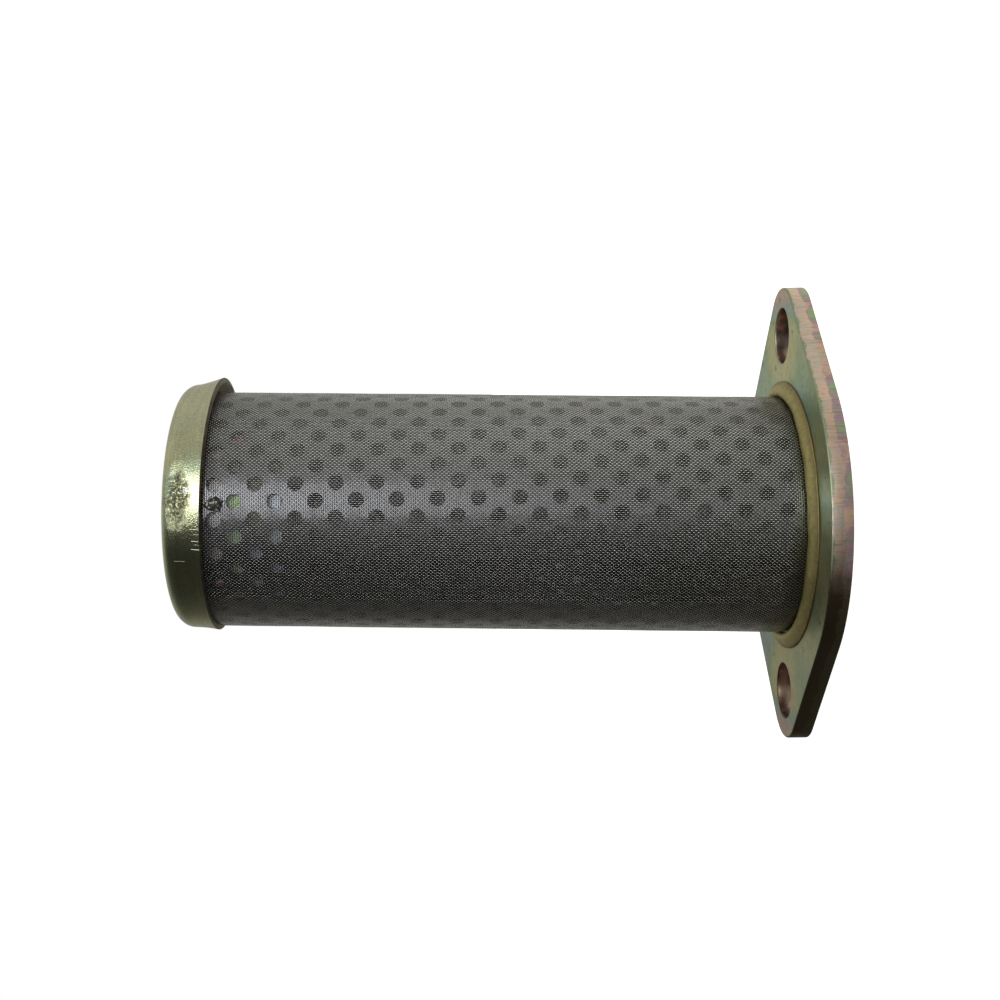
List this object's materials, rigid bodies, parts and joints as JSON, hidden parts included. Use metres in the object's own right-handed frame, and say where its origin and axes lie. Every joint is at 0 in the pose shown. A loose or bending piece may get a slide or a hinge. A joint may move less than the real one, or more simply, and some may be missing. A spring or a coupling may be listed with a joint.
{
  "type": "transmission suction strainer",
  "caption": "Suction strainer: a perforated tube wrapped in fine wire cloth, closed by a drawn cap and welded to a lozenge mounting flange with bolt holes.",
  "frame": {"origin": "centre of the flange's mounting face, the outer flat face that is bolted to the housing", "axes": "+Z from the mounting face up the tube towards the cap, X along the flange's long axis through both bolt holes, Y across it"},
  "size_m": [0.091, 0.0684, 0.1262],
  "materials": {
    "zinc_flange": "yellow zinc plated plate, iridescent, satin",
    "zinc_weld": "plated weld bead, dull olive",
    "perforated_sheet": "plain rolled sheet, dull",
    "wire_cloth": "woven stainless wire cloth, fine plain weave",
    "zinc_cap": "yellow zinc plated drawn sheet, semi-bright",
    "zinc_band": "yellow zinc plated strip, bright and iridescent",
    "scorched_weld": "dark, scorched tack weld"
  },
  "bodies": {
    "root": {"mounting_flange": "zinc_flange", "weld_bead": "zinc_weld", "core_tube": "perforated_sheet", "mesh_sleeve": "wire_cloth", "end_cap": "zinc_cap", "inner_band": "zinc_band", "tack_weld_1": "scorched_weld", "tack_weld_2": "scorched_weld", "tack_weld_3": "scorched_weld"}
  },
  "joints": []
}
